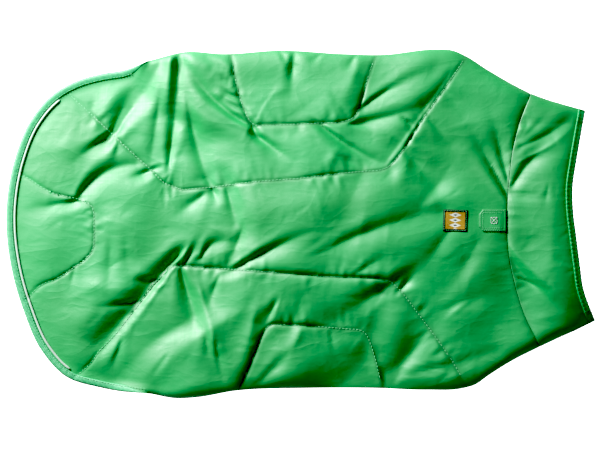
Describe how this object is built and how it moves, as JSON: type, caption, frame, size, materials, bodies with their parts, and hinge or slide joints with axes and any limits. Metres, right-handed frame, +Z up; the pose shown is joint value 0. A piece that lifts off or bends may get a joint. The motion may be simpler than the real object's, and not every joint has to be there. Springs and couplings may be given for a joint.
{
  "type": "dog winter coat",
  "caption": "Sleeveless padded dog coat laid flat with its back up: quilted back panel, chest panel, leg openings, stand-up collar and bound hem.",
  "frame": {"origin": "centre of the laid coat's box, on the surface that it rests on", "axes": "+X from the tail to the neck, +Y across to the far side, +Z up, out of the coat's back"},
  "size_m": [0.5656, 0.3338, 0.0302],
  "materials": {
    "green_shell": "satin woven nylon over padding",
    "green_tape": "satin binding tape",
    "reflective_silver": "reflective silver cloth",
    "woven_label": "woven"
  },
  "bodies": {
    "root": {"back_panel": "green_shell", "chest_panel": "green_shell", "collar": "green_shell", "leash_flap": "green_shell", "hem_binding": "green_tape", "far_side_binding": "green_tape", "near_side_binding": "green_tape", "belly_binding": "green_tape", "neck_binding": "green_tape", "reflective_piping": "reflective_silver", "woven_label": "woven_label"}
  },
  "joints": []
}
